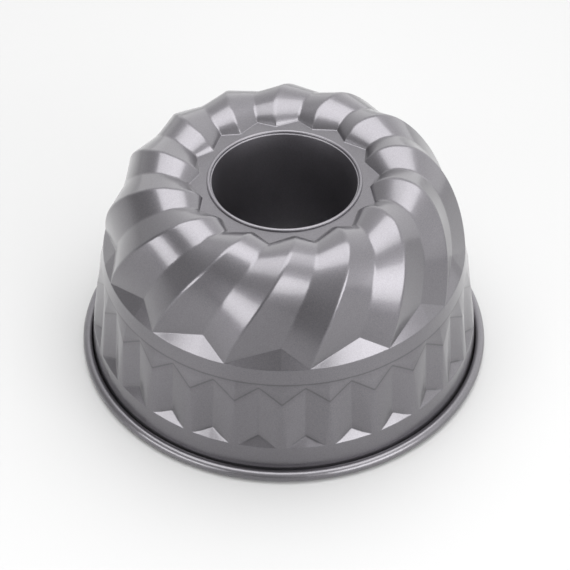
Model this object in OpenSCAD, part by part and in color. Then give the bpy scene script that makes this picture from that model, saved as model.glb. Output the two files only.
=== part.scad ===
// Fluted ring mould with a centre tube, standing dome up on its rolled rim.
// Three pieces: the pressed shell, the tube that is seamed into its crown, and the
// wire inside its rim. Heights are measured from the plane that the rim stands on.

/* [Sheet and rim] */
// Diameter over the rolled rim
rim_d = 220; // [190:1:260]
// Thickness of the steel sheet
sheet = 0.6; // [0.5:0.05:0.7]
// Radius of the rolled bead
bead_r = 3; // [2.7:0.1:3.6]
// Depth of the flat ring that the bead stands on
bead_flat = 0.12; // [0.08:0.02:0.2]
// How far round the sheet is rolled, in degrees
bead_sweep = 315; // [280:5:315]
// Clearance between the wire and the roll
wire_clear = 0.25; // [0.15:0.05:0.35]
// Gap between the butted ends of the wire
wire_gap = 0.8; // [0.4:0.1:2]

/* [Prism wall] */
// Height of the circle where the prisms stand on the skirt
skirt_h = 19.3; // [16:0.5:24]
// Draft of the plain skirt, in degrees
skirt_draft = 5; // [3:0.5:7]
// Number of prisms round the wall
prisms = 26; // [20:1:32]
// Direction of one prism ridge, seen from above
prism_phase = -90.4; // [-180:0.1:180]
// Height of the upright ridge of a prism
prism_h = 28.2; // [20:0.5:32]
// Draft of a prism ridge, in degrees
prism_draft = 7; // [5:0.5:9]
// Height of the down-pointing facets above the ridges
crown_h = 11.3; // [9:0.5:14]
// How far those facets lean in
crown_lean = 3; // [2:0.1:4]
// Distance from the plain band to the top of a groove
groove_drop = 2.6; // [2:0.1:4]
// Draft of a groove between two prisms, in degrees
groove_draft = 4; // [3:0.5:5]
// Height of the small facet that closes a groove
toe_h = 4.8; // [3.5:0.1:6]
// Half width of a prism ridge where it meets the skirt
toe_land = 2.9; // [1.5:0.1:4]

/* [Plain band] */
// Height of the plain band
band_h = 8.8; // [6:0.2:12]
// Draft of the plain band, in degrees
band_draft = 9; // [6:0.5:12]

/* [Flutes] */
// Number of flutes round the dome
flutes = 14; // [10:1:18]
// Direction of the inner tip of one ridge, seen from above
flute_phase = -83.7; // [-180:0.1:180]
// Height of the dome above the plain band
dome_h = 51; // [42:0.5:60]
// Radius of the circle of the highest points
crest_r = 62.7; // [58:0.1:68]
// Depth of a valley at the highest points
crest_depth = 3.7; // [2.5:0.1:5]
// Depth of a valley where the dome meets the band
foot_depth = 5.8; // [4:0.1:7]
// Height of the facet that closes a valley
apron_h = 9.2; // [7:0.1:11]
// How far a ridge turns from the band to its inner tip, in degrees
ridge_twist = 24.3; // [15:0.1:30]
// How far a valley turns over the same height, in degrees
valley_twist = 20.1; // [12:0.1:26]
// Turn from the inner tip of a ridge to that of its valley, in degrees
valley_lag = 11; // [9:0.1:13]
// How far a ridge lies inside a true ellipse, halfway up its shoulder
ridge_slim = 1.2; // [0:0.1:2]
// Width of the flattened edge of a ridge
ridge_round = 1.3; // [0.8:0.1:1.8]

/* [Ring and tube] */
// Depth of the flat ring below the highest points
ring_drop = 9.1; // [6:0.1:12]
// Width of the flat ring from the seam to the inner tips of the ridges
ring_w = 3.8; // [3:0.1:6]
// How far the tips of the valleys lie outside those of the ridges
tip_depth = 5.2; // [3:0.1:7]
// Inner radius of the tube at its mouth
mouth_r = 37.5; // [32:0.5:42]
// Draft of the tube, in degrees
tube_draft = 2.7; // [1.5:0.1:4]
// Height of the tube's free end above the rim plane
tube_end_h = 4; // [1:0.5:12]
// Radius of the curl on the tube's free end
tube_curl_r = 1.3; // [1.1:0.1:1.8]
// How far round that curl goes, in degrees
tube_curl_sweep = 270; // [220:5:290]
// Straight part of the seam above the flat ring
seam_rise = 0.26; // [0.2:0.02:0.6]
// Depth of the ledge inside the mouth, from the top of the seam
ledge_drop = 1.5; // [1.3:0.05:2]
// Width of that ledge
ledge_w = 0.66; // [0.5:0.02:0.9]
// Clearance between the layers of the seam
seam_clear = 0.04; // [0.03:0.01:0.08]

/* [Hidden] */
$fn = 96;
section_fn = 32;

// How the faceted sheet laps into the turned rings: how much thicker a ring is on
// each face, how far the sheet runs into it, the width of the crown's ring outside
// the seam, and how many degrees of a curl lie within the wall beside it.
lap_skin = 0.05;
lap_run = 1.5;
lap_w = 2.2;
lap_turn = 6;

// Where the columns of points stand, as shares of a prism, of a flute's wide facet
// and of the band under one flute
facet_step = 0.31;
wide_steps = [0.35, 0.69];
foot_steps = [0, 0.06, 0.32, 0.58, 0.8, 0.88, 0.97];
inner_rows = 5;
outer_rows = 12;
ridge_pull = 0.4;
edge_lift = 0.4;

// Twist of the flutes: rate at the band, share left at the crest and rate there
twist_start = -0.65;
twist_at_crest = 0.13;
twist_slope = -0.4;
// How far round its arc a flute has come where it meets the flat ring
tip_angle = 70;

// Rim and skirt, outside face
rim_r = rim_d / 2;
bead_z = bead_r - bead_flat;
bead_c = rim_r - bead_r;
foot_r = rim_r - 2 * bead_r + sheet;
skirt_lap_h = skirt_h / 2 + bead_r;
skirt_end_h = skirt_lap_h - lap_run;
skirt_r = skirt_out(skirt_h);

// Prisms, outside face
prism_pitch = 360 / prisms;
prism_top_h = skirt_h + prism_h;
prism_top_r = skirt_r - tan(prism_draft) * prism_h;
band_low_h = prism_top_h + crown_h;
band_low_r = prism_top_r - crown_lean;
groove_top_h = band_low_h - groove_drop;
groove_foot_h = skirt_h + toe_h;
groove_foot_r = band_low_r + tan(groove_draft) * (groove_top_h - groove_foot_h);
toe_angle = asin(toe_land / skirt_r);
toe_share = toe_angle / prism_pitch;
prism_steps = [0, toe_share, facet_step, 0.5, 1 - facet_step, 1 - toe_share];
wall_columns = prisms * len(prism_steps);

// Dome, outside face
flute_pitch = 360 / flutes;
flute_columns = len(foot_steps);
dome_columns = flutes * flute_columns;
dome_rows = inner_rows + outer_rows;
shelf_h = band_low_h + band_h;
shelf_r = band_low_r - tan(band_draft) * band_h;
crest_h = shelf_h + dome_h;
ring_h = crest_h - ring_drop;
apron_angle = asin(apron_h / (dome_h - crest_depth));
ridge_end_angle = asin(edge_lift / dome_h);
dome_start = flute_phase - ridge_twist;
wall_start = prism_phase + round((dome_start - prism_phase) / prism_pitch) * prism_pitch;

// Seam between the tube and the shell
seam_half = 1.5 * sheet + seam_clear;
seam_r = mouth_r + ledge_w + seam_half;
seam_z = ring_h + seam_rise;
collar_r = seam_r - sheet / 2;
ledge_h = seam_z + seam_half - ledge_drop;
lap_r = seam_r + seam_half + lap_w;
ridge_tip_r = seam_r + seam_half + ring_w;
valley_tip_r = ridge_tip_r + tip_depth;

function skirt_out(h) = foot_r - tan(skirt_draft) * (h - bead_z);
function lerp(a, b, f) = a + (b - a) * f;
function unit(v) = v / norm(v);
function polar(r, a, z) = [r * cos(a), r * sin(a), z];
function turned(p, a) = [p.x * cos(a) - p.y * sin(a), p.x * sin(a) + p.y * cos(a), p.z];
function flipped(face) = [for (i = [len(face) - 1:-1:0]) face[i]];

// Cubic from value p to value q over f = 0 to 1, with slopes m and n at its ends.
function eased(p, m, q, n, f) =
    p + f * m + f * f * (3 * (q - p) - 2 * m - n) + f * f * f * (2 * (p - q) + m + n);

// Places on the dome run from 0 at the band through 1 at the crest to 2 at the
// inner tips. This is the share of the twist that is left at a place.
function twist_left(f) =
    f <= 1 ? eased(1, twist_start, twist_at_crest, twist_slope, f)
        : eased(twist_at_crest, twist_slope, 0, 0, f - 1);

// A point of a ridge or valley line: an elliptical shoulder up to the crest, then a
// shorter one down to the flat ring. The gaps are its depth below the ridges.
function line_point(f, direction, twist, foot_gap, crest_gap, slim, tip_r) =
    let (
        a = min(f, 1) * 90,
        b = max(f - 1, 0) * tip_angle,
        r = f <= 1
            ? crest_r + (shelf_r - foot_gap - crest_r) * cos(a) - slim * sin(2 * a)
            : crest_r - (crest_r - tip_r) * sin(b) / sin(tip_angle),
        z = f <= 1
            ? shelf_h + (dome_h - crest_gap) * sin(a)
            : ring_h + (ring_drop - crest_gap) * (cos(b) - cos(tip_angle)) / (1 - cos(tip_angle))
    )
    polar(r, direction - twist * twist_left(f), z);

// Rows are counted from the inner tips outwards, down to the end of the line.
function row_place(row, end_angle) =
    row <= inner_rows
        ? 2 - row / inner_rows
        : lerp(1, end_angle / 90, (row - inner_rows) / outer_rows);
function ridge_point(row, flute) =
    line_point(row_place(row, ridge_end_angle), flute_phase + flute * flute_pitch,
        ridge_twist, 0, 0, ridge_slim, ridge_tip_r);
function valley_point(row, flute) =
    line_point(row_place(row, apron_angle), flute_phase + valley_lag + flute * flute_pitch,
        valley_twist, foot_depth, crest_depth, 0, valley_tip_r);

// One flute of a row: its ridge, the wide facet, the valley and the narrow facet.
function flute_points(row, flute) =
    let (
        ridge = ridge_point(row, flute),
        valley = valley_point(row, flute),
        next = ridge_point(row, flute + 1),
        last = valley_point(row, flute - 1),
        after = lerp(ridge, valley, ridge_round / norm(valley - ridge)),
        before = lerp(ridge, last, ridge_round / norm(last - ridge)),
        ahead = lerp(next, valley, ridge_round / norm(valley - next))
    )
    [
        lerp(ridge, (after + before) / 2, ridge_pull),
        after,
        for (step = wide_steps) lerp(after, valley, step),
        valley,
        (valley + ahead) / 2,
        ahead,
    ];
function dome_row(row) = [for (flute = [0:flutes - 1]) each flute_points(row, flute)];
function tip_circle(r) = [for (p = dome_row(0)) unit([p.x, p.y, 0]) * r + [0, 0, ring_h]];
function shelf_circle(r, z) =
    [for (flute = [0:flutes - 1], step = foot_steps)
        polar(r, dome_start + (flute + step) * flute_pitch, z)];

// Upper and lower ends of the upright facets, for side = 0 at a prism's ridge to
// side = 1 in its groove.
function facet_top(side) =
    lerp([prism_top_r, 0, prism_top_h], polar(band_low_r, prism_pitch / 2, groove_top_h), side);
function facet_foot(side) =
    side <= 2 * toe_share
        ? polar(skirt_r, side * prism_pitch / 2, skirt_h + edge_lift)
        : lerp(polar(skirt_r, toe_angle, skirt_h + edge_lift),
            polar(groove_foot_r, prism_pitch / 2, groove_foot_h),
            (side - 2 * toe_share) / (1 - 2 * toe_share));
function facet_end(step, foot) =
    let (
        side = 1 - abs(1 - 2 * step),
        p = foot ? facet_foot(side) : facet_top(side)
    )
    step <= 0.5 ? p : turned([p.x, -p.y, p.z], prism_pitch);
function prism_row(foot) =
    [for (i = [0:prisms - 1], step = prism_steps)
        turned(facet_end(step, foot), wall_start + i * prism_pitch)];
function wall_circle(r, z) =
    [for (i = [0:prisms - 1], step = prism_steps)
        polar(r, wall_start + (i + step) * prism_pitch, z)];

// Rows of the outside face, with a spare row at each end that steers the normals.
dome_grid = [
    tip_circle(lap_r - 2 * lap_run),
    tip_circle(lap_r - lap_run / 2),
    for (row = [0:dome_rows]) dome_row(row),
    shelf_circle(shelf_r, shelf_h),
    shelf_circle(band_low_r, band_low_h),
];
wall_grid = [
    wall_circle(shelf_r, shelf_h),
    wall_circle(band_low_r, band_low_h),
    prism_row(false),
    prism_row(true),
    wall_circle(skirt_r, skirt_h),
    wall_circle(skirt_out(skirt_end_h), skirt_end_h),
    wall_circle(foot_r, bead_z),
];
function without_spares(grid) = [for (i = [1:len(grid) - 2]) grid[i]];

// The inside face lies one sheet behind the outside face.
function inside(grid) =
    [for (i = [1:len(grid) - 2])
        let (n = len(grid[i]))
        [for (j = [0:n - 1])
            let (
                along = grid[i][(j + 1) % n] - grid[i][(j + n - 1) % n],
                down = unit(grid[i + 1][j] - grid[i][j]) + unit(grid[i][j] - grid[i - 1][j])
            )
            grid[i][j] - sheet * unit(cross(down, along))]];

// Faces between rows of n points, where start is the number of the first point.
function grid_faces(rows, n, start) =
    [for (i = [0:rows - 2], j = [0:n - 1])
        let (
            a = start + i * n + j,
            b = start + i * n + (j + 1) % n
        )
        each [[a, b, a + n], [b, b + n, a + n]]];

// Faces between two circles with different counts, taken in order of direction.
function mid_directions(ring) =
    let (
        n = len(ring),
        a = [for (p = ring) atan2(p.y, p.x)],
        first = a[0] - dome_start - 360 * round((a[0] - dome_start) / 360),
        t = [for (v = a) first + v - a[0] - 360 * floor((v - a[0]) / 360)]
    )
    [for (i = [0:n - 1]) (t[i] + (i == n - 1 ? first + 360 : t[i + 1])) / 2];
function count_below(list, x) = len([for (v = list) if (v < x) v]);
function strip_faces(upper, lower, start_upper, start_lower) =
    let (
        n = len(upper),
        m = len(lower),
        u = mid_directions(upper),
        w = mid_directions(lower)
    )
    concat(
        [for (i = [0:n - 1])
            [start_upper + i, start_upper + (i + 1) % n, start_lower + count_below(w, u[i]) % m]],
        [for (j = [0:m - 1])
            [start_lower + (j + 1) % m, start_lower + j, start_upper + count_below(u, w[j]) % n]]
    );
// Faces that close the edge between the outside and inside, gap points apart.
function edge_faces(n, start, gap) =
    [for (j = [0:n - 1])
        let (
            a = start + j,
            b = start + (j + 1) % n
        )
        each [[b, a, a + gap], [b, a + gap, b + gap]]];

// The pressed sheet from the flat ring to the skirt, as one closed skin.
module fluted_sheet() {
    dome_out = without_spares(dome_grid);
    wall_out = without_spares(wall_grid);
    dome_count = len(dome_out) * dome_columns;
    side_count = dome_count + len(wall_out) * wall_columns;
    outer = concat(
        grid_faces(len(dome_out), dome_columns, 0),
        strip_faces(dome_out[len(dome_out) - 1], wall_out[0], dome_count - dome_columns, dome_count),
        grid_faces(len(wall_out), wall_columns, dome_count)
    );
    inner = [for (f = outer) flipped([for (v = f) v + side_count])];
    low_edge = edge_faces(wall_columns, side_count - wall_columns, side_count);
    polyhedron(
        [for (grid = [dome_out, wall_out, inside(dome_grid), inside(wall_grid)], row = grid) each row],
        concat(outer, inner, edge_faces(dome_columns, 0, side_count), [for (f = low_edge) flipped(f)])
    );
}

// Flat ring round the tube, with the upright collar that the tube is folded over.
module crown_ring() {
    rotate_extrude()
        translate([collar_r, ring_h - sheet - lap_skin]) {
            square([lap_r - collar_r, sheet + 2 * lap_skin]);
            square([sheet, seam_z - ring_h + sheet + lap_skin]);
        }
}

// Rolled edge of sheet in section. It leaves the wall at its left and goes round by
// the bottom, so what is left open lies at its upper left.
module curl_section(r, sweep) {
    from = sweep - 180;
    to = 180 - lap_turn;
    mid = (from + to) / 2;
    reach = 3 * r;
    difference() {
        circle(r, $fn = section_fn);
        circle(r - sheet, $fn = section_fn);
        polygon([
            [0, 0],
            reach * [cos(from), sin(from)],
            reach * [cos(mid), sin(mid)],
            reach * [cos(to), sin(to)],
        ]);
    }
}

// Foot of the skirt and the bead rolled outwards from it, with a flat to stand on.
module rolled_rim() {
    lap_out_r = skirt_out(skirt_lap_h) + lap_skin;
    lap_in_r = skirt_out(skirt_lap_h) - sheet - 2 * lap_skin;
    rotate_extrude()
        intersection() {
            union() {
                translate([bead_c, bead_z])
                    curl_section(bead_r, bead_sweep);
                polygon([
                    [foot_r - sheet, bead_z],
                    [foot_r, bead_z],
                    [lap_out_r, skirt_lap_h],
                    [lap_in_r, skirt_lap_h],
                ]);
            }
            square([2 * rim_r, skirt_h]);
        }
}

module mould_shell() {
    color("#8d8c8f")
        union() {
            fluted_sheet();
            crown_ring();
            rolled_rim();
        }
}

// Hem that is folded over the collar: it stands on the flat ring outside and runs
// down to the ledge inside.
module seam_section() {
    leg = seam_rise - 2 * lap_skin;
    difference() {
        union() {
            circle(seam_half, $fn = section_fn);
            translate([-seam_half, -leg])
                square([2 * seam_half, leg]);
        }
        circle(seam_half - sheet, $fn = section_fn);
        translate([sheet - seam_half, -2 * leg])
            square([2 * (seam_half - sheet), 2 * leg]);
        translate([-2 * seam_half, -leg - 2 * seam_half])
            square([4 * seam_half, 2 * seam_half]);
    }
    translate([-seam_half, ledge_h - sheet - seam_z])
        square([sheet, seam_z - ledge_h + sheet]);
}

module centre_tube() {
    curl_z = tube_end_h + tube_curl_r;
    end_r = mouth_r - tan(tube_draft) * (ledge_h - curl_z);
    color("#77767a") {
        rotate_extrude()
            translate([seam_r, seam_z])
                seam_section();
        rotate_extrude()
            polygon([
                [mouth_r, ledge_h],
                [mouth_r + ledge_w + sheet, ledge_h],
                [mouth_r + ledge_w + sheet, ledge_h - sheet],
                [mouth_r + sheet, ledge_h - sheet],
                [end_r + sheet, curl_z],
                [end_r, curl_z],
            ]);
        rotate_extrude()
            translate([end_r + tube_curl_r, curl_z])
                curl_section(tube_curl_r, tube_curl_sweep);
    }
}

module rim_wire() {
    butt = wire_gap / bead_c * 180 / PI;
    color("#b9b9bb")
        rotate_extrude(angle = 360 - butt)
            translate([bead_c, bead_z])
                circle(bead_r - sheet - wire_clear, $fn = section_fn);
}

mould_shell();
centre_tube();
rim_wire();
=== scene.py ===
from math import asin, atan2, cos, degrees, pi, radians, sin, tan

import bpy
from mathutils import Matrix, Vector


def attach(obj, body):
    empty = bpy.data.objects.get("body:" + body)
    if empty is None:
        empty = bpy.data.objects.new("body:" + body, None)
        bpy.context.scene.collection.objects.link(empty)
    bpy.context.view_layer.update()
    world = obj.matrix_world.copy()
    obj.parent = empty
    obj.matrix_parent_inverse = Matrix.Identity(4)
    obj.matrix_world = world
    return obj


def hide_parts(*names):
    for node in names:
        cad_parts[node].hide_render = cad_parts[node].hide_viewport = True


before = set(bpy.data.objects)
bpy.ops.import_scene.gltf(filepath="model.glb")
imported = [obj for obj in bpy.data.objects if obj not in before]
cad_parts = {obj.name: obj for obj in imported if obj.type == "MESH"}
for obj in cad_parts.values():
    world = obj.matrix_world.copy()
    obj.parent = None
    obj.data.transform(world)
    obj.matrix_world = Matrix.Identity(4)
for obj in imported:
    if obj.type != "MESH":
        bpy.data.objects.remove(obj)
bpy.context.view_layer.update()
scene = bpy.context.scene
mm = 0.001

print("camera")
camera = {
    "place": (0.0, -0.74304, 0.74137),
    "target": (0.0, 0.0, 0.05),
    "roll": 0.005,
    "lens": 120.155,
    "sensor": 36.0,
    "shift": (0.0014, -0.0351),
}
cameraData = bpy.data.cameras.new("photoCamera")
cameraData.sensor_width, cameraData.lens = camera["sensor"], camera["lens"]
cameraData.shift_x, cameraData.shift_y = camera["shift"]
cameraObject = bpy.data.objects.new("photoCamera", cameraData)
scene.collection.objects.link(cameraObject)
towards = (Vector(camera["target"]) - Vector(camera["place"])).to_track_quat("-Z", "Y").to_matrix().to_4x4()
rolled = towards @ Matrix.Rotation(camera["roll"], 4, "Z")
cameraObject.matrix_world = Matrix.Translation(camera["place"]) @ rolled
scene.camera = cameraObject
scene.view_settings.view_transform = "Standard"


class Sock:
    # wraps a socket, so that node maths reads as an expression
    def __init__(self, tree, socket=None):
        self.tree, self.socket = tree, socket

    def node(self, kind, settings=None, inputs=None, out=0):
        made = self.tree.nodes.new(kind)
        for name, value in (settings or {}).items():
            if name == "stops":
                ramp = made.color_ramp
                for _ in range(len(value) - 2):
                    ramp.elements.new(0.5)
                for stop, (place, level) in zip(ramp.elements, value):
                    stop.position, stop.color = place, (level, level, level, 1)
            else:
                setattr(made, name, value)
        for name, value in (inputs or {}).items():
            for one in value if isinstance(value, list) else [value]:
                if isinstance(one, Sock):
                    self.tree.links.new(one.socket, made.inputs[name])
                else:
                    made.inputs[name].default_value = one
        return Sock(self.tree, made.outputs[out] if made.outputs else None)

    def pick(self, name):
        return Sock(self.tree, self.socket.node.outputs[name])

    def maths(self, operation, other, reflected=False):
        first, second = (other, self) if reflected else (self, other)
        return self.node("ShaderNodeMath", {"operation": operation}, {0: first, 1: second})

    def __add__(self, other):
        return self.maths("ADD", other)

    def __radd__(self, other):
        return self.maths("ADD", other, True)

    def __sub__(self, other):
        return self.maths("SUBTRACT", other)

    def __rsub__(self, other):
        return self.maths("SUBTRACT", other, True)

    def __mul__(self, other):
        return self.maths("MULTIPLY", other)

    def __rmul__(self, other):
        return self.maths("MULTIPLY", other, True)

    def __truediv__(self, other):
        return self.maths("DIVIDE", other)

    def __rtruediv__(self, other):
        return self.maths("DIVIDE", other, True)


print("materials")
shellCoating = {
    "name": "satinCoating",
    "dark": (0.133, 0.127, 0.139, 1),
    "light": (0.172, 0.165, 0.180, 1),
    "crease": (0.045, 0.042, 0.046, 1),  # painted shade: the colour of a dark line along the wall's inside folds, standing in for the shade that falls there
    "paintedShadeShare": 0.6,
    "metallic": 0.94,
    "roughness": 0.32,
    "cloudGloss": 0.06,  # how far the clouds and the grain change the roughness
    "grainGloss": 0.08,
    "coat": 0.8,  # the clear top of the coating, over its metallic grain
    "coatRoughness": 0.13,
    "coatIndex": 1.55,
    "grain": (1500.0, 2.0),  # scale and detail
    "grainDepth": 0.00002,
    "flakes": 1950.0,
    "clouds": (38.0, 4.0),
    "speckle": (0.55, 0.25, 0.20),  # shares of the grain, the flakes and the clouds
    "contrast": [(0.30, 0.0), (0.62, 1.0)],  # speckle up to which it is all dark, and from which all light
    "ripple": (46.0, 1.0),
    "rippleDepth": 0.00010,
}
tubeCoating = dict(
    shellCoating,
    name="tubeCoating",
    dark=(0.170, 0.163, 0.178, 1),
    light=(0.210, 0.201, 0.220, 1),
    roughness=0.45,
)
wireSteel = {
    "name": "drawnSteel",
    "dark": (0.42, 0.42, 0.42, 1),
    "light": (0.60, 0.60, 0.60, 1),
    "roughness": 0.34,
    "stainGloss": 0.16,
    "stains": (60.0, 3.0),  # scale and detail
    "lines": (900.0, 3.0),
    "lineDepth": 0.00002,
}


def newMaterial(name):
    material = bpy.data.materials.new(name)
    material.use_nodes = True
    material.node_tree.nodes.clear()
    return material, Sock(material.node_tree)


def noise(place, scale, detail):
    return place.node("ShaderNodeTexNoise", {}, {"Vector": place, "Scale": scale, "Detail": detail})


def blend(share, first, second):
    return share.node("ShaderNodeMix", {"data_type": "RGBA"}, {0: share, 6: first, 7: second}, 2)


def coatedSteel(look):
    material, coat = newMaterial(look["name"])
    place = coat.node("ShaderNodeTexCoord", out="Object")
    grain, clouds = noise(place, *look["grain"]), noise(place, *look["clouds"])
    flakes = coat.node("ShaderNodeTexVoronoi", {}, {"Vector": place, "Scale": look["flakes"]}, "Distance")
    ripple = noise(place, *look["ripple"])
    grainShare, flakeShare, cloudShare = look["speckle"]
    speckle = grainShare * grain + flakeShare * flakes + cloudShare * clouds
    lightness = coat.node("ShaderNodeValToRGB", {"stops": look["contrast"]}, {"Fac": speckle})
    # painted shade: the fold rows' crease attribute blends the colour toward the dark crease colour along the
    # inside folds
    paintedFoldShade = coat.node("ShaderNodeAttribute", {"attribute_name": "crease"}, out="Fac")
    tint = blend(lightness, look["dark"], look["light"])
    tint = blend(paintedFoldShade * look["paintedShadeShare"], tint, look["crease"])
    gloss = look["roughness"] + look["cloudGloss"] * (clouds - 0.5) + look["grainGloss"] * (grain - 0.5)
    waves = coat.node("ShaderNodeBump", {}, {"Distance": look["rippleDepth"], "Height": ripple})
    bumps = coat.node("ShaderNodeBump", {}, {
        "Distance": look["grainDepth"], "Height": grain, "Normal": waves})
    skin = coat.node("ShaderNodeBsdfPrincipled", {}, {
        "Base Color": tint, "Metallic": look["metallic"], "Roughness": gloss, "Normal": bumps,
        "Coat Weight": look["coat"], "Coat Roughness": look["coatRoughness"], "Coat IOR": look["coatIndex"]})
    coat.node("ShaderNodeOutputMaterial", {}, {"Surface": skin})
    return material


def drawnSteel(look):
    material, steel = newMaterial(look["name"])
    place = steel.node("ShaderNodeTexCoord", out="Object")
    lines, stains = noise(place, *look["lines"]), noise(place, *look["stains"])
    bumps = steel.node("ShaderNodeBump", {}, {"Distance": look["lineDepth"], "Height": lines})
    skin = steel.node("ShaderNodeBsdfPrincipled", {}, {
        "Base Color": blend(stains, look["dark"], look["light"]), "Metallic": 1.0, "Normal": bumps,
        "Roughness": look["roughness"] + look["stainGloss"] * (stains - 0.5)})
    steel.node("ShaderNodeOutputMaterial", {}, {"Surface": skin})
    return material


shellMaterial = coatedSteel(shellCoating)
tubeMaterial = coatedSteel(tubeCoating)
wireMaterial = drawnSteel(wireSteel)

# Sizes of the pressed shell, in millimetres and degrees. Those of the pan itself are the same as in the
# CAD source. The bends, and where and how many rows, columns and steps there are, belong to this mesh.
sheetMetal = {
    "thickness": 0.6, "rimDiameter": 220.0, "beadRadius": 3.0, "beadFlat": 0.12, "beadSweep": 315.0,
    "beadSteps": 20, "weld": 0.02,
}
wall = {
    "prisms": 26, "phase": -90.4, "skirtHeight": 19.3, "skirtDraft": 5.0, "ridgeHeight": 28.2,
    "ridgeDraft": 7.0, "crownHeight": 11.3, "crownLean": 3.0, "grooveDrop": 2.6, "grooveDraft": 4.0,
    "toeHeight": 4.8, "toeLand": 2.9, "bandHeight": 8.8, "bandDraft": 9.0,
    "columns": 14, "toeColumns": 3, "bendColumns": 2,
    "flankRows": (0, 0.12, 0.4, 0.7, 0.9, 1),  # shares of the way from the prisms' tops to their feet
    "skirtRows": (16.0, 11.0, 6.5),  # heights
    # Rows of the plain band: the share of its height from the top, and how far the columns have moved. In
    # the upper half they move from the flutes' columns to even ones, in the lower half on to the prisms'.
    "upperBand": ((0, 0), (0.1, 0), (0.3, 0.5), (0.5, 1)),
    "lowerBand": ((0.5, 0), (0.7, 0.5), (0.9, 1), (1, 1)),
}
dome = {
    "flutes": 14, "phase": -83.7, "height": 51.0, "crestRadius": 62.7, "crestDepth": 3.7, "footDepth": 5.8,
    "apronHeight": 9.2, "ridgeTwist": 24.3, "valleyTwist": 20.1, "valleyLag": 11.0, "ridgeSlim": 1.2,
    "twistStart": -0.65, "twistAtCrest": 0.13, "twistSlope": -0.4, "tipAngle": 70.0, "ringDrop": 9.1,
    "wideColumns": 16, "narrowColumns": 10, "bendColumns": 3, "innerRows": 12, "outerRows": 26,
}
seam = {
    "ringWidth": 3.8, "tipDepth": 5.2, "mouthRadius": 37.5, "ledgeWidth": 0.66, "ledgeDrop": 1.5,
    "clearance": 0.04, "rise": 0.26,
    "foot": 0.1,  # gap under the seam's outer leg
    "ringStart": 1.0,  # how far outside that leg the ring's first row lies
}
bend = {  # how far from its corner each rounding starts
    "ridge": 1.2, "valley": 1.0, "tip": 0.35, "zigzag": 0.4, "fold": 0.35, "crease": 0.9, "prism": 0.8,
    "groove": 0.7, "collar": 0.2,
    "growth": 0.2,  # what each row away from a flute's ends adds to the tip's, up to the full rounding
    "reach": 0.4,  # the most of a side that a rounding takes, as a share
    "lift": 0.25,  # height of the ridges' feet over the shelf, and of the prisms' feet over the skirt
    "paintedShadeEdge": 0.22,  # painted shade at the edges of an inside fold, where its middle has 1
}

thick = sheetMetal["thickness"]
beadRadius = sheetMetal["beadRadius"]
beadHeight = beadRadius - sheetMetal["beadFlat"]
beadCentre = sheetMetal["rimDiameter"] / 2 - beadRadius
footRadius = beadCentre - beadRadius + thick
prismPitch, flutePitch = 360 / wall["prisms"], 360 / dome["flutes"]
fluteColumns = dome["wideColumns"] + dome["narrowColumns"]


def skirtRadius(height):
    return footRadius - tan(radians(wall["skirtDraft"])) * (height - beadHeight)


skirtTop = skirtRadius(wall["skirtHeight"])
prismTop = wall["skirtHeight"] + wall["ridgeHeight"]
prismTopRadius = skirtTop - tan(radians(wall["ridgeDraft"])) * wall["ridgeHeight"]
bandLow = prismTop + wall["crownHeight"]
bandLowRadius = prismTopRadius - wall["crownLean"]
grooveTop = bandLow - wall["grooveDrop"]
grooveFoot = wall["skirtHeight"] + wall["toeHeight"]
grooveFootRadius = bandLowRadius + tan(radians(wall["grooveDraft"])) * (grooveTop - grooveFoot)
shelf = bandLow + wall["bandHeight"]
shelfRadius = bandLowRadius - tan(radians(wall["bandDraft"])) * wall["bandHeight"]
ringHeight = shelf + dome["height"] - dome["ringDrop"]
seamHalf = 1.5 * thick + seam["clearance"]  # half of three sheets with a gap on either side of the middle one
seamRadius = seam["mouthRadius"] + seam["ledgeWidth"] + seamHalf
seamHeight = ringHeight + seam["rise"]
ridgeTip = seamRadius + seamHalf + seam["ringWidth"]
valleyTip = ridgeTip + seam["tipDepth"]
apronAngle = degrees(asin(dome["apronHeight"] / (dome["height"] - dome["crestDepth"])))
ridgeEnd = degrees(asin(bend["lift"] / dome["height"]))
fluteStart = dome["phase"] - dome["ridgeTwist"]
joinStep = 360 / (dome["flutes"] * fluteColumns)
joinStart = wall["phase"] + round((fluteStart - wall["phase"]) / joinStep) * joinStep


def mixed(a, b, share):
    return a + (b - a) * share


def polar(radius, angle, height):
    return Vector((radius * cos(radians(angle)), radius * sin(radians(angle)), height))


def eased(first, leaving, last, arriving, share):  # a curve between two values with a slope at each
    square = 3 * (last - first) - 2 * leaving - arriving
    cube = 2 * (first - last) + leaving + arriving
    return first + share * leaving + share * share * square + share * share * share * cube


def twistLeft(place):  # place is 0 at the band, 1 at the crest, 2 at the inner tips
    if place <= 1:
        return eased(1, dome["twistStart"], dome["twistAtCrest"], dome["twistSlope"], place)
    return eased(dome["twistAtCrest"], dome["twistSlope"], 0, 0, place - 1)


def linePoint(place, direction, twist, footGap, crestGap, slim, tipRadius):
    crest, tip = dome["crestRadius"], radians(dome["tipAngle"])
    up, down = radians(min(place, 1) * 90), max(place - 1, 0) * tip
    if place <= 1:
        radius = crest + (shelfRadius - footGap - crest) * cos(up) - slim * sin(2 * up)
        height = shelf + (dome["height"] - crestGap) * sin(up)
    else:
        radius = crest - (crest - tipRadius) * sin(down) / sin(tip)
        height = ringHeight + (dome["ringDrop"] - crestGap) * (cos(down) - cos(tip)) / (1 - cos(tip))
    return polar(radius, direction - twist * twistLeft(place), height)


def turned(point, angle):
    return Matrix.Rotation(radians(angle), 3, "Z") @ point


def directionOf(point):
    return degrees(atan2(point.y, point.x))


def rounded(before, corner, after, size, turn):
    # a point of a rounded corner: turn 0 where the curve starts, 1 where it ends
    first = corner + (before - corner).normalized() * min(size, bend["reach"] * (before - corner).length)
    last = corner + (after - corner).normalized() * min(size, bend["reach"] * (after - corner).length)
    return mixed(mixed(first, corner, turn), mixed(corner, last, turn), turn)


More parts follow.
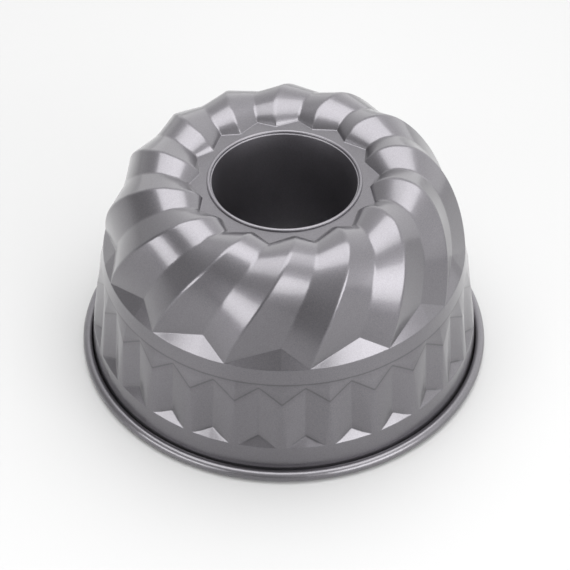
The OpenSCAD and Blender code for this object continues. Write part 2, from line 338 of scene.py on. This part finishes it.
def facetLine(before, start, end, after, radii, bends, count):
    # from the middle of one rounded corner to the middle of the next
    leave, meet = rounded(before, start, end, radii[0], 1), rounded(start, end, after, radii[1], 0)
    line = []
    for i in range(count + 1):
        if i < bends[0]:
            line.append(rounded(before, start, end, radii[0], 0.5 + 0.5 * i / bends[0]))
        elif i > count - bends[1]:
            line.append(rounded(start, end, after, radii[1], 0.5 - 0.5 * (count - i) / bends[1]))
        else:
            line.append(mixed(leave, meet, (i - bends[0]) / (count - bends[0] - bends[1])))
    return line


def foldedRows(rows, folds):
    # three rows in place of each one in folds, so that the sheet is rounded there
    made = []
    for i, row in enumerate(rows):
        if i not in folds:
            made.append(row)
            continue
        corners = list(zip(rows[i - 1], row, rows[i + 1]))
        made += [[rounded(*corner, folds[i], turn) for corner in corners] for turn in (0, 0.5, 1)]
    return made


def domeRow(row):  # one flute of a row, from its ridge to the next
    innerRows, outerRows = dome["innerRows"], dome["outerRows"]

    def along(end):
        if row <= innerRows:
            return 2 - row / innerRows
        return mixed(1, end / 90, (row - innerRows) / outerRows)

    ridge = linePoint(along(ridgeEnd), dome["phase"], dome["ridgeTwist"], 0, 0, dome["ridgeSlim"], ridgeTip)
    valley = linePoint(along(apronAngle), dome["phase"] + dome["valleyLag"], dome["valleyTwist"],
                       dome["footDepth"], dome["crestDepth"], 0, valleyTip)
    last, following = turned(valley, -flutePitch), turned(ridge, flutePitch)
    fromEnd = min(row, innerRows + outerRows - row)
    ridgeBend = min(bend["ridge"], bend["tip"] + bend["growth"] * fromEnd)
    valleyBend = min(bend["valley"], bend["tip"] + bend["growth"] * fromEnd)
    turns = (dome["bendColumns"], dome["bendColumns"])
    wide = facetLine(last, ridge, valley, following, (ridgeBend, valleyBend), turns, dome["wideColumns"])
    narrow = facetLine(ridge, valley, following, turned(valley, flutePitch), (valleyBend, ridgeBend), turns,
                       dome["narrowColumns"])
    return wide[:-1] + narrow


def bandPoint(share, angle):  # share 0 at the shelf, 1 at the foot of the band
    return polar(mixed(shelfRadius, bandLowRadius, share), angle, mixed(shelf, bandLow, share))


def sector(name, rows, paintedCreaseShade):  # the last argument holds the painted shade of each point in some of the rows, dark along the inside folds
    count = len(rows[0])
    mesh = bpy.data.meshes.new(name)
    mesh.from_pydata([point * mm for row in rows for point in row], [], [
        (i * count + j, (i + 1) * count + j, (i + 1) * count + j + 1, i * count + j + 1)
        for i in range(len(rows) - 1) for j in range(count - 1)])
    plain = [0.0] * count
    # painted shade per point, stored as the crease attribute
    paintedShade = [amount for i in range(len(rows)) for amount in paintedCreaseShade.get(i, plain)]
    mesh.attributes.new("crease", "FLOAT", "POINT").data.foreach_set("value", paintedShade)
    mesh.materials.append(shellMaterial)
    return bpy.data.objects.new(name, mesh)


print("flute sector")
domeRows = [domeRow(row) for row in range(dome["innerRows"] + dome["outerRows"] + 1)]
tips = [Vector((point.x, point.y, 0)).normalized() for point in domeRows[0]]
collarRadius = seamRadius + thick / 2
ringStart = seamRadius + seamHalf + seam["ringStart"]
fluteRows = [[tip * radius + Vector((0, 0, height)) for tip in tips] for radius, height in (
    (collarRadius, seamHeight), (collarRadius, ringHeight), (ringStart, ringHeight))]
collarFoot, zigzag = 1, len(fluteRows)
fluteRows += domeRows
apron = len(fluteRows) - 1
steps = [(domeRows[-1][i + 1] - domeRows[-1][i]).length for i in range(fluteColumns)]
apexShare = ((directionOf(domeRows[-1][dome["wideColumns"]]) - fluteStart) % 360) / flutePitch
wideLength, narrowLength = sum(steps[:dome["wideColumns"]]), sum(steps[dome["wideColumns"]:])
shares = [0]
for i, step in enumerate(steps):
    gain = apexShare / wideLength if i < dome["wideColumns"] else (1 - apexShare) / narrowLength
    shares.append(shares[-1] + step * gain)
for share, evenness in wall["upperBand"]:
    fluteRows.append([
        bandPoint(share, mixed(fluteStart + s * flutePitch, joinStart + i * joinStep, evenness))
        for i, s in enumerate(shares)])
fluteFolds = {
    collarFoot: bend["collar"], zigzag: bend["zigzag"], apron: bend["fold"], apron + 1: bend["fold"]}
fluteSector = sector("fluteSector", foldedRows(fluteRows, fluteFolds), {})

print("prism sector")
half, toeColumns, bendColumns = wall["columns"] // 2, wall["toeColumns"], wall["bendColumns"]


def wholePrism(line):  # the second half mirrors the first
    other = [turned(Vector((point.x, -point.y, point.z)), prismPitch) for point in reversed(line[:-1])]
    return [turned(point, wall["phase"]) for point in line + other]


def turnsOf(line):  # directions of its points, from the prism's ridge
    return [(directionOf(point) - wall["phase"] + 180) % 360 - 180 for point in line]


ridgeTop, nextTop = polar(prismTopRadius, 0, prismTop), polar(prismTopRadius, prismPitch, prismTop)
lastHead, grooveHead = (polar(bandLowRadius, way * prismPitch / 2, grooveTop) for way in (-1, 1))
grooveToe = polar(grooveFootRadius, prismPitch / 2, grooveFoot)
toeAngle = degrees(asin(wall["toeLand"] / skirtTop))
toe = [polar(skirtTop, toeAngle * i / toeColumns, wall["skirtHeight"] + bend["lift"])
       for i in range(toeColumns + 1)]
otherToe = polar(skirtTop, prismPitch - toeAngle, wall["skirtHeight"])
topLine = facetLine(lastHead, ridgeTop, grooveHead, nextTop, (bend["prism"], bend["groove"]),
                    (bendColumns, bendColumns), half)
footLine = facetLine(toe[-2], toe[-1], grooveToe, otherToe, (0, bend["groove"]), (0, bendColumns),
                     half - toeColumns)
tops, feet = wholePrism(topLine), wholePrism(toe[:-1] + footLine)
upperTurns, lowerTurns = turnsOf(tops), turnsOf(feet)
prismRows = [
    [bandPoint(share, wall["phase"] + mixed(prismPitch * i / wall["columns"], turn, nearness))
     for i, turn in enumerate(upperTurns)]
    for share, nearness in wall["lowerBand"]]
bandRow = len(prismRows) - 1
prismRows.append([mixed(a, b, 0.5) for a, b in zip(prismRows[bandRow], tops)])
topRow = len(prismRows)
prismRows += [[mixed(a, b, share) for a, b in zip(tops, feet)] for share in wall["flankRows"]]
footRow = len(prismRows) - 1
skirtRings = [(skirtRadius(height), height) for height in (wall["skirtHeight"], *wall["skirtRows"])]
roll = beadRadius - thick
for i in range(sheetMetal["beadSteps"] + 1):
    turn = radians(180 + sheetMetal["beadSweep"] * i / sheetMetal["beadSteps"])
    skirtRings.append((beadCentre + roll * cos(turn), beadHeight + roll * sin(turn)))
for radius, height in skirtRings:
    prismRows.append([polar(radius, wall["phase"] + turn, height) for turn in lowerTurns])
prismFolds = {
    bandRow: bend["crease"], topRow: bend["crease"], footRow: bend["crease"], footRow + 1: bend["fold"]}
# painted shade along the inside folds at the band, the prisms' tops and their feet, weaker at each fold's
# edges
paintedCreaseShade = {}
for row, bare in ((bandRow, 0), (topRow, 0), (footRow, len(toe))):  # bare: columns at either end without it
    first = row + 2 * sum(other < row for other in prismFolds)
    for step, amount in enumerate((bend["paintedShadeEdge"], 1.0, bend["paintedShadeEdge"])):
        paintedCreaseShade[first + step] = [0.0] * bare + [amount] * (len(tops) - 2 * bare) + [0.0] * bare
prismSector = sector("prismSector", foldedRows(prismRows, prismFolds), paintedCreaseShade)


def shellTree():
    tree = bpy.data.node_groups.new("pressedShell", "GeometryNodeTree")
    tree.interface.new_socket("Geometry", in_out="OUTPUT", socket_type="NodeSocketGeometry")
    kinds = {
        "Geometry": "Geometry", "Flute sector": "Object", "Flutes": "Int", "Prism sector": "Object",
        "Prisms": "Int", "Weld distance": "Float", "Coating": "Material"}
    for name, kind in kinds.items():
        tree.interface.new_socket(name, in_out="INPUT", socket_type="NodeSocket" + kind)
    press = Sock(tree)
    given = press.node("NodeGroupInput")
    rings = []
    for part, number in (("Flute sector", "Flutes"), ("Prism sector", "Prisms")):
        form = press.node("GeometryNodeObjectInfo", {}, {"Object": given.pick(part)}, "Geometry")
        spots = press.node("GeometryNodePoints", {}, {"Count": given.pick(number)})
        angle = press.node("GeometryNodeInputIndex") * (2 * pi) / given.pick(number)
        rotation = press.node("ShaderNodeCombineXYZ", {}, {"Z": angle})
        rings.append(press.node("GeometryNodeInstanceOnPoints", {}, {
            "Points": spots, "Instance": form, "Rotation": rotation}))
    joined = press.node("GeometryNodeJoinGeometry", {}, {"Geometry": rings})
    solid = press.node("GeometryNodeRealizeInstances", {}, {"Geometry": joined})
    welded = press.node("GeometryNodeMergeByDistance", {}, {
        "Geometry": solid, "Distance": given.pick("Weld distance")})
    smooth = press.node("GeometryNodeSetShadeSmooth", {}, {"Geometry": welded})
    coated = press.node("GeometryNodeSetMaterial", {}, {
        "Geometry": smooth, "Material": given.pick("Coating")})
    press.node("NodeGroupOutput", {}, {"Geometry": coated})
    return tree


def plainMesh(name, source):
    scene.collection.objects.link(source)
    graph = bpy.context.evaluated_depsgraph_get()
    mesh = bpy.data.meshes.new_from_object(
        source.evaluated_get(graph), preserve_all_data_layers=True, depsgraph=graph)
    bpy.data.objects.remove(source)
    made = bpy.data.objects.new(name, mesh)
    scene.collection.objects.link(made)
    return made


print("shell")
draft = bpy.data.objects.new("shellDraft", bpy.data.meshes.new("shellDraft"))
pressing = draft.modifiers.new("pressing", "NODES")
pressing.node_group = shellTree()
values = {
    "Flute sector": fluteSector, "Flutes": dome["flutes"], "Prism sector": prismSector,
    "Prisms": wall["prisms"], "Weld distance": sheetMetal["weld"] * mm, "Coating": shellMaterial}
for item in pressing.node_group.interface.items_tree:
    if item.in_out == "INPUT" and item.name in values:
        pressing[item.identifier] = values[item.name]
gauge = draft.modifiers.new("gauge", "SOLIDIFY")
gauge.thickness, gauge.offset = thick * mm, -1
draft.modifiers.new("flatFacets", "WEIGHTED_NORMAL")
shell = plainMesh("mouldShell", draft)
for vert in shell.data.vertices:  # the narrow flat that the bead stands on
    vert.co.z = max(vert.co.z, 0.0)
for pattern in (fluteSector, prismSector):
    bpy.data.objects.remove(pattern)
shell.data.materials.clear()
shell.data.materials.append(shellMaterial)
shell.data.polygons.foreach_set("material_index", [0] * len(shell.data.polygons))
print("shell faces", len(shell.data.polygons))
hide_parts("mould_shell")
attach(shell, "root")

print("centre tube")
tube = {
    "draft": 2.7, "endHeight": 4.0, "curlRadius": 1.3, "curlSweep": 270.0, "round": 0.25, "columns": 192,
    "wallRows": 8, "hemSteps": 16, "innerHemSteps": 8, "curlSteps": 16, "innerCurlSteps": 12,
}
ledge = seamHeight + seamHalf - seam["ledgeDrop"]
curlHeight = tube["endHeight"] + tube["curlRadius"]
endRadius = seam["mouthRadius"] - tan(radians(tube["draft"])) * (ledge - curlHeight)


def arc(centre, radius, start, end, count):
    turns = [radians(mixed(start, end, i / count)) for i in range(count + 1)]
    return [Vector((centre[0] + radius * cos(turn), centre[1] + radius * sin(turn))) for turn in turns]


def cornerPoints(before, corner, after, size):  # three points in place of a corner
    first = corner + (before - corner).normalized() * size
    last = corner + (after - corner).normalized() * size
    return [first, (first + last + 2 * corner) / 4, last]


def tubeSection():  # once round the sheet, from the foot of the seam's outer leg
    mouth, lip = seam["mouthRadius"], seam["mouthRadius"] + seam["ledgeWidth"]
    ledgeEdge, mouthEdge = Vector((lip, ledge)), Vector((mouth, ledge))
    wallEnd = Vector((endRadius, curlHeight))
    curl, hem = (endRadius + tube["curlRadius"], curlHeight), (seamRadius, seamHeight)
    inner, curlEnd = seamHalf - thick, 180 + tube["curlSweep"]
    legFoot, rows = ringHeight + seam["foot"], tube["wallRows"]
    section = [Vector((seamRadius + seamHalf, legFoot))] + arc(hem, seamHalf, 0, 180, tube["hemSteps"])
    section += cornerPoints(section[-1], ledgeEdge, mouthEdge, tube["round"])
    section += cornerPoints(ledgeEdge, mouthEdge, wallEnd, tube["round"])
    section += [mixed(mouthEdge, wallEnd, i / rows) for i in range(1, rows)]
    section += arc(curl, tube["curlRadius"], 180, curlEnd, tube["curlSteps"])
    section += arc(curl, tube["curlRadius"] - thick, curlEnd, 180, tube["innerCurlSteps"])
    backEnd, backEdge = Vector((endRadius + thick, curlHeight)), Vector((mouth + thick, ledge - thick))
    section += [mixed(backEnd, backEdge, i / rows) for i in range(1, rows + 1)]
    section += [Vector((lip + thick, ledge - thick))] + arc(hem, inner, 180, 0, tube["innerHemSteps"])
    section += [Vector((seamRadius + inner, legFoot))]
    return section


section = tubeSection()
count, columns = len(section), tube["columns"]
points = [polar(point.x, 360 * i / columns, point.y) * mm for i in range(columns) for point in section]
faces = []
for i in range(columns):
    here, there = i * count, (i + 1) % columns * count
    for j in range(count):
        above = (j + 1) % count
        faces.append((here + j, here + above, there + above, there + j))
tubeMesh = bpy.data.meshes.new("centreTube")
tubeMesh.from_pydata(points, [], faces)
tubeMesh.shade_smooth()
tubeMesh.materials.append(tubeMaterial)
centreTube = bpy.data.objects.new("centreTube", tubeMesh)
scene.collection.objects.link(centreTube)
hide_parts("centre_tube")
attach(centreTube, "root")

print("rim wire")
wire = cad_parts["rim_wire"]
wire.data.materials.clear()
wire.data.materials.append(wireMaterial)

print("floor and light")
studio = {
    "floor": (0.52, 0.52, 0.52, 1),
    "floorRoughness": 0.5,
    "floorIndex": 1.65,
    "floorSize": 30.0,
    "room": 0.36,  # brightness of the room's walls, and what its back, sides and ceiling add
    "roomBack": 1.10,
    "roomLeft": 0.05,
    "roomRight": 1.05,
    "roomCeiling": 0.75,
}
lamps = {  # brightness is that of the lamp's face
    "overhead": {
        "place": (0, 0.12, 1.0), "target": (0, 0.12, 0), "size": (1.10, 0.84), "brightness": 2.7},
    "frontLeft": {
        "place": (-0.89, -0.71, 0.375), "target": (0, 0, 0.06), "size": (0.87, 0.42), "brightness": 4.0},
    "frontRight": {
        "place": (0.76, -0.80, 0.50), "target": (0, 0, 0.06), "size": (0.86, 0.58), "brightness": 3.7},
}
for name, lamp in lamps.items():
    light = bpy.data.lights.new(name, "AREA")
    light.shape = "RECTANGLE"
    light.size, light.size_y = lamp["size"]
    light.energy = lamp["brightness"] * pi * lamp["size"][0] * lamp["size"][1]
    stand = bpy.data.objects.new(name, light)
    scene.collection.objects.link(stand)
    aim = (Vector(lamp["target"]) - Vector(lamp["place"])).to_track_quat("-Z", "Y")
    stand.matrix_world = Matrix.Translation(lamp["place"]) @ aim.to_matrix().to_4x4()
    stand.visible_camera = False

world = bpy.data.worlds.new("studio")
world.use_nodes = True
world.node_tree.nodes.clear()
scene.world = world
room = Sock(world.node_tree)
side = room.node("ShaderNodeSeparateXYZ", {}, {"Vector": room.node("ShaderNodeTexCoord", out="Generated")})
rightward, backward, upward = (side.pick(axis).maths("MAXIMUM", 0.0) for axis in "XYZ")
leftward = rightward - side.pick("X")
brightness = (studio["room"] + studio["roomBack"] * backward * backward + studio["roomLeft"] * leftward
              + studio["roomRight"] * rightward + studio["roomCeiling"] * upward * upward * upward)
shade = room.node("ShaderNodeBackground", {}, {"Color": (1, 1, 1, 1), "Strength": brightness})
room.node("ShaderNodeOutputWorld", {}, {"Surface": shade})

floorMesh = bpy.data.meshes.new("floor")
edge = studio["floorSize"] / 2
corners = [(-edge, -edge, 0), (edge, -edge, 0), (edge, edge, 0), (-edge, edge, 0)]
floorMesh.from_pydata(corners, [], [(0, 1, 2, 3)])
floorMaterial, paper = newMaterial("paleFloor")
satin = paper.node("ShaderNodeBsdfPrincipled", {}, {
    "Base Color": studio["floor"], "Roughness": studio["floorRoughness"], "IOR": studio["floorIndex"]})
paper.node("ShaderNodeOutputMaterial", {}, {"Surface": satin})
floorMesh.materials.append(floorMaterial)
floor = bpy.data.objects.new("floor", floorMesh)
scene.collection.objects.link(floor)
